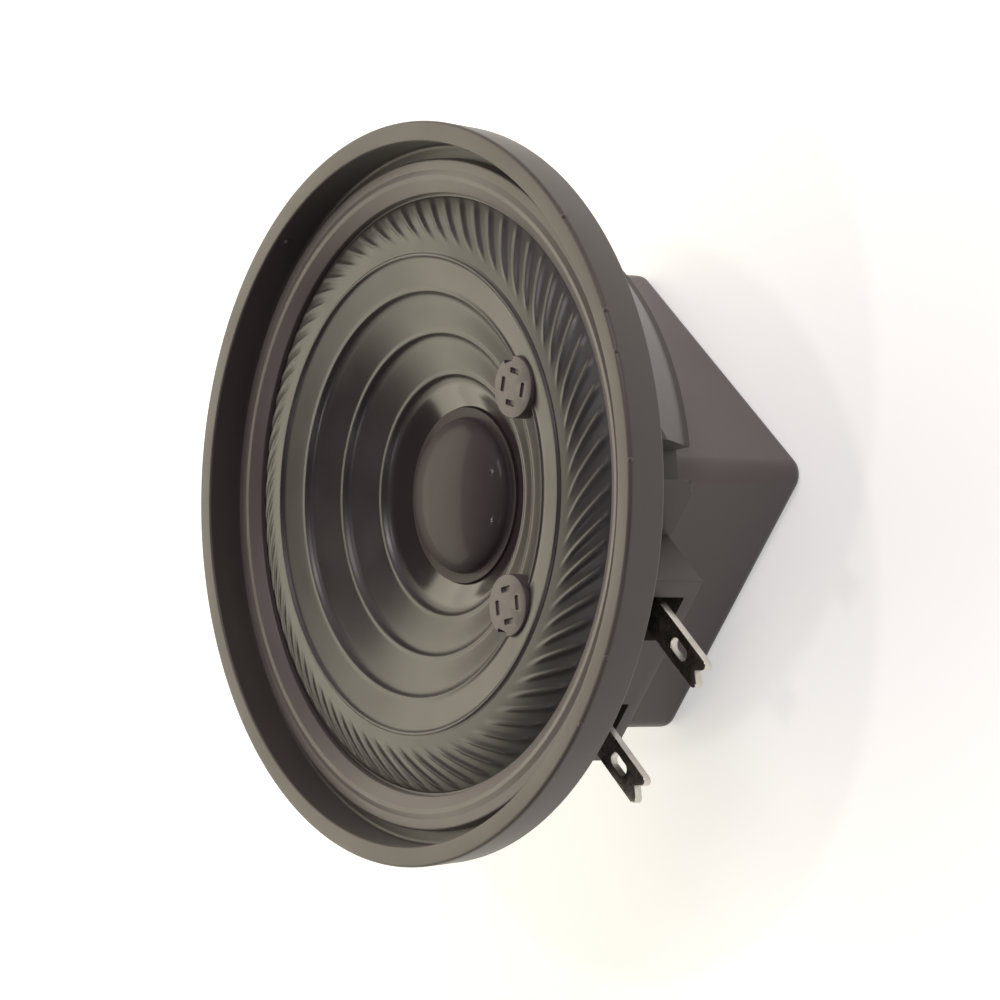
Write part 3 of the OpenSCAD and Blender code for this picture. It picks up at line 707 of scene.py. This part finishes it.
def stepped_cone():
    """Film cone from the neck to the surround, with three soft beads and one where it laps the surround."""
    lap_r, lap_in = 21.55, 21.05
    radii = {CONE_LINE[0][0], 6.8, 7.2, SKIRT_R, 9.2, 12.6, 16.2, 19.4, 20.2}
    for ridge in RIDGES + (LAP_BEAD,):
        radii.update(round(ridge + 0.05 * k, 3) for k in range(-22, 13) if abs(k) < 9 or k % 3 == 0)
    front = [(r, cone_front(r)) for r in sorted(radii) if r <= lap_r]
    back = [(r, z - FILM_T) for r, z in reversed(front) if r < lap_in]
    lap_z = crown_z((ROLL_R - lap_r) / (ROLL_R - EDGE_R)) + 0.01
    lap = [(lap_r, lap_z), (21.25, EDGE_Z + 0.02), (lap_in, EDGE_Z)]
    return lathe(front + lap + back, 288)


def dust_cap():
    """Smooth domed cap with a narrow flat skirt glued on the cone."""
    base = cone_z(CAP_R)
    arc = [math.radians(3.75 * k) for k in range(25)]
    dome = [(CAP_R * math.cos(a), base + 0.5 + CAP_H * math.sin(a)) for a in arc]
    dome[-1] = (AXIS_R / 2, dome[-1][1])
    under = [(max(r - FILM_T, AXIS_R / 2), z - FILM_T) for r, z in reversed(dome)]
    foot = cone_z(SKIRT_R)
    skirt = [(SKIRT_R, foot + 0.02), (SKIRT_R, foot + FILM_T), (7.3, cone_z(7.3) + FILM_T + 0.02),
             (7.02, cone_z(7.02) + FILM_T + 0.06)]
    return lathe(skirt + dome + under, 192)


def lead_pad(angle, side):
    """Round flat-faced pad on the cone over a lead's end: four slots round its middle, a notched edge."""
    steps = 120
    level = [(AXIS_R, PAD_Z), (PAD_R - 0.14, PAD_Z), (PAD_R - 0.05, PAD_Z - 0.04), (PAD_R, PAD_Z - 0.14)]
    points, faces = [], []
    for r, z in level + [(PAD_R, None)]:
        for k in range(steps):
            x, y = r * math.cos(2 * math.pi * k / steps), r * math.sin(2 * math.pi * k / steps)
            foot = cone_z(math.hypot(PAD_AT + x, y)) - 0.12
            points.append((x, y, foot if z is None else max(z, foot)))
    for j in range(len(level)):
        for k in range(steps):
            a, b = j * steps + k, j * steps + (k + 1) % steps
            faces.append((a, a + steps, b + steps, b))
    last = len(level) * steps
    faces.append(tuple(range(steps)))
    faces.append(tuple(range(last, last + steps))[::-1])
    pad = mesh_of(points, faces)
    wide, long = SLOT_W / 2, SLOT_L / 2
    for quarter in range(4):
        low, high = (SLOT_AT - wide, -long, PAD_Z - SLOT_DEPTH), (SLOT_AT + wide, long, PAD_Z + 1)
        pad = boolean(pad, bevelled(bar(low, high, 45 + 90 * quarter), 0.12, steps=3), "DIFFERENCE")
    notch = bar((PAD_R - 0.45, -long, PAD_Z - 0.8), (PAD_R + 1, long, PAD_Z + 1), 72 * side)
    pad = boolean(pad, bevelled(notch, 0.12, steps=3), "DIFFERENCE")
    pad.transform(Matrix.Rotation(math.radians(angle), 4, "Z") @ Matrix.Translation((PAD_AT * MM, 0, 0)))
    return pad


def corrugated_spider():
    """Cloth disc with three round waves that centres the coil."""
    waves, steps, height = 3, 72, 0.6
    face = SPIDER_Z + SPIDER_T
    start, end = SPIDER_R - 1.4, SPIDER_IN + 0.6
    line = [(SPIDER_R, face)]
    for i in range(steps + 1):
        t = i / steps
        rise = height / 2 * (1 - math.cos(2 * math.pi * waves * t))
        line.append((start + (end - start) * t, face + rise))
    line.append((SPIDER_IN, face))
    return lathe(line + [(r, z - SPIDER_T) for r, z in reversed(line)], 144)


# Leads and lugs


def lead(angle, x):
    """Braided lead from under its pad to its lug, as a round cord on a smooth route."""
    # Each point as a part of the turn, of the way out and of the climb, the same as in the CAD source
    steps = [
        (0, 0, 1), (0, 0, 0.85), (0.1, 0.18, 0.68), (0.25, 0.34, 0.58), (0.45, 0.5, 0.5), (0.65, 0.66, 0.42),
        (0.85, 0.85, 0.35), (1, 1, 0.22), (1, 1, 0),
    ]
    upper = cone_z(LEAD_AT) - FILM_T - LEAD_GAP
    far, turn = math.hypot(x, SOLDER_Y), math.degrees(math.atan2(-SOLDER_Y, x))
    curve = bpy.data.curves.new("route", "CURVE")
    curve.dimensions = "3D"
    curve.bevel_depth = LEAD_D / 2 * MM
    curve.bevel_resolution = 3
    curve.resolution_u = 6
    curve.use_fill_caps = True
    spline = curve.splines.new("BEZIER")
    spline.bezier_points.add(len(steps) - 1)
    for point, (p, q, h) in zip(spline.bezier_points, steps):
        a, r = math.radians(angle + (turn - angle) * p), LEAD_AT + (far - LEAD_AT) * q
        height = SOLDER_TOP + (upper - SOLDER_TOP) * h
        point.co = Vector((r * math.cos(a), r * math.sin(a), height)) * MM
        point.handle_left_type = point.handle_right_type = "AUTO"
    return cleaned(settled(placed("holder", curve)))


def solder_lug(x):
    """Forked tin-plated tag with a long slot, punched from sheet, so its edges are a little rounded."""
    w, tip, edge = LUG_W / 2, LUG_TIP_Y, 0.07
    curve = bpy.data.curves.new("tag", "CURVE")
    curve.dimensions = "2D"
    curve.fill_mode = "BOTH"
    curve.bevel_depth = edge * MM
    curve.bevel_resolution = 2
    curve.extrude = (LUG_T / 2 - edge) * MM
    curve.offset = -edge * MM
    # Half of the fork's end, from its outer corner to the bottom of its V
    prong = [(w, 0.4), (w - 0.18, 0.08), (w - 0.4, 0), (w - 0.62, 0.05), (w - 0.8, 0.2)]
    outline = [(-w, -LUG_ROOT_Y), (w, -LUG_ROOT_Y)] + [(px, py - tip) for px, py in prong]
    outline += [(0, 0.9 - tip)] + [(-px, py - tip) for px, py in reversed(prong)]
    slot_r, slot_half, middle = 0.6, 0.65, tip - 3.7
    slot = []
    for k in range(24):
        a = 2 * math.pi * k / 24
        shift = slot_half if math.sin(a) >= 0 else -slot_half
        slot.append((slot_r * math.cos(a), slot_r * math.sin(a) + shift - middle))
    for line in (outline, slot):
        spline = curve.splines.new("POLY")
        spline.points.add(len(line) - 1)
        spline.use_cyclic_u = True
        for point, (px, py) in zip(spline.points, line):
            point.co = (px * MM, py * MM, 0, 1)
    tag = cleaned(settled(placed("holder", curve)))
    tag.transform(Matrix.Translation((x * MM, 0, LUG_Z * MM)))
    return tag


# Assembly

VENT_ANGLES = (-6.5, -24.1, -30.7, -46.9, -76.1, -87.6)
nibs = [nib(angle, 32.84, 28.86) for angle in VENT_ANGLES] + [nib(79.5, 31.12, 27.9)]
put(joined([basket_rim()] + nibs), "basket_rim", BASKET_ABS, FRAME, ("basket",))
put(basket_pot(), "basket_pot", BASKET_ABS, FRAME, sharp=25)
put(cover_rib(), "basket_cover_rib", BASKET_ABS, FRAME)
put(clamp_ring(), "moulded_clamp_ring", RING_ABS, FRAME, ("clamp_ring",))
surround = put(pleated_surround(), "pleated_surround", SURROUND_FILM, None, ("surround",))
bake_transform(surround)
put(stepped_cone(), "stepped_cone", CONE_FILM, CONE, ("cone",), 35)
put(dust_cap(), "domed_dust_cap", CAP_FILM, CONE, ("dust_cap",), 40)
for side, (angle, turned) in PAD_ANGLES.items():
    put(lead_pad(angle, turned), "slotted_pad_" + side, PAD_FILM, CONE, ("lead_pad_" + side,))
put(magnet_cover(), "moulded_magnet_cover", COVER_ABS, FRAME, ("magnet_cover",), 35)
for side, x in (("right", LUG_X), ("left", -LUG_X)):
    put(solder_lug(x), "forked_lug_" + side, TIN, FRAME, ("lug_" + side,), 50)
    cord = put(lead(PAD_ANGLES[side][0], x), "braided_lead_" + side, BRAID, None, ("lead_" + side,))
    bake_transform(cord)
spider = put(corrugated_spider(), "corrugated_spider", CLOTH, None, ("spider",))
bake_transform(spider)

for name, finish in (
    ("front_plate", ZINC), ("magnet", FERRITE), ("yoke_plate", ZINC), ("pole_piece", ZINC),
    ("cover_seal", SEAL), ("terminal_sealant", SEALANT), ("solder_joints", SOLDER),
    ("neck_adhesive", ADHESIVE), ("coil_former", FORMER), ("voice_coil", WINDING),
):
    nodes[name].data.materials.clear()
    nodes[name].data.materials.append(finish)


# Floor

FLOOR_HALF = 900

corners = [(x * FLOOR_HALF, y * FLOOR_HALF, 0) for x, y in ((-1, -1), (1, -1), (1, 1), (-1, 1))]
floor = placed("paper_floor", mesh_of(corners, [(0, 1, 2, 3)]))
paper, tree = new_finish("white_paper_floor")
matt = add(tree, "ShaderNodeBsdfDiffuse", Color=linear("#f4f3f1"))
# The camera and reflections see the paper a little lighter than lit, and the shadow on it stays
seen = add(tree, "ShaderNodeLightPath")
clear = add(
    tree, "ShaderNodeMath", {"operation": "MAXIMUM"}, i0=seen.outputs["Is Camera Ray"],
    i1=seen.outputs["Is Glossy Ray"],
)
lift = add(tree, "ShaderNodeMath", {"operation": "MULTIPLY"}, i0=clear.outputs[0], i1=0.46)
glow = add(tree, "ShaderNodeEmission", Color=linear("#ffffff"), Strength=lift.outputs[0])
both = add(tree, "ShaderNodeAddShader", i0=matt.outputs[0], i1=glow.outputs[0])
add(tree, "ShaderNodeOutputMaterial", Surface=both.outputs[0])
floor.data.materials.append(paper)


# Camera: the photo's angle, with distances in rim radii from the middle of the rim's front

AZIMUTH, ELEVATION, ROLL = math.radians(37.43), math.radians(36.376), math.radians(-1.421)
DISTANCE, AIM_RIGHT, AIM_DOWN = 11.4, 0.2685, 0.017
LENS_MM, SENSOR_MM = 153.19, 36.0

toward = Vector((
    math.sin(AZIMUTH) * math.cos(ELEVATION), -math.cos(AZIMUTH) * math.cos(ELEVATION), math.sin(ELEVATION)
))
side_way = Vector((math.cos(AZIMUTH), math.sin(AZIMUTH), 0))
away = Vector((-math.sin(AZIMUTH), math.cos(AZIMUTH), 0))
across = side_way.cross(toward)
x_axis = math.cos(ROLL) * across - math.sin(ROLL) * side_way
y_axis = math.sin(ROLL) * across + math.cos(ROLL) * side_way
offset = AIM_RIGHT * x_axis - AIM_DOWN * y_axis + DISTANCE * toward
spot = Vector((0, 0, FRONT_Z)) * MM + RIM_R * MM * offset

lens = bpy.data.cameras.new("camera")
lens.lens = LENS_MM
lens.sensor_width = SENSOR_MM
camera = placed("camera", lens)
camera.matrix_world = Matrix((
    (x_axis.x, y_axis.x, toward.x, spot.x), (x_axis.y, y_axis.y, toward.y, spot.y),
    (x_axis.z, y_axis.z, toward.z, spot.z), (0, 0, 0, 1),
))
bpy.context.scene.camera = camera


# Light

LIGHT_DISTANCE = 0.9
LIGHT_CENTRE = Vector((0, 0, 0.02))


def aimed(side, rise):
    """Direction at an angle from the far side of the driver toward its right, and at a height angle."""
    a, e = math.radians(side), math.radians(rise)
    return math.cos(e) * (math.cos(a) * away + math.sin(a) * side_way) + Vector((0, 0, math.sin(e)))


def softbox(name, direction, width, height, radiance, colour):
    """A soft light as a glowing panel that faces the driver: radiance is what a mirror would show of it."""
    lamp = bpy.data.lights.new(name, "AREA")
    lamp.shape = "RECTANGLE"
    lamp.size = width
    lamp.size_y = height
    lamp.energy = radiance * math.pi * width * height
    lamp.color = linear(colour)[:3]
    holder = placed(name, lamp)
    holder.location = direction * LIGHT_DISTANCE + LIGHT_CENTRE
    holder.rotation_euler = direction.to_track_quat("Z", "Y").to_euler()


softbox("low_softbox_behind", aimed(0, 20), 1.7, 0.3, 2.5, "#fdf6dd")
softbox("high_softbox_behind", aimed(0, 40), 1.5, 0.34, 3.5, "#fdf6dd")
softbox("large_fill_side", aimed(85, 38), 0.8, 0.6, 0.7, "#fff6f6")
softbox("side_softbox_right", aimed(134, 38), 0.32, 0.28, 8.5, "#fff4f6")
softbox("side_softbox_left", aimed(-143, 38), 0.16, 0.14, 4.0, "#fff4f6")
softbox("small_lamp_right", aimed(105, 69), 0.055, 0.055, 65, "#fffaf6")
softbox("small_lamp_left", aimed(-110, 68), 0.055, 0.055, 60, "#fffaf6")

world = bpy.data.worlds.new("pale_room")
bpy.context.scene.world = world
world.use_nodes = True
world.node_tree.nodes["Background"].inputs["Color"].default_value = linear("#fffaf4")
world.node_tree.nodes["Background"].inputs["Strength"].default_value = 0.12
bpy.context.scene.view_settings.view_transform = "Standard"
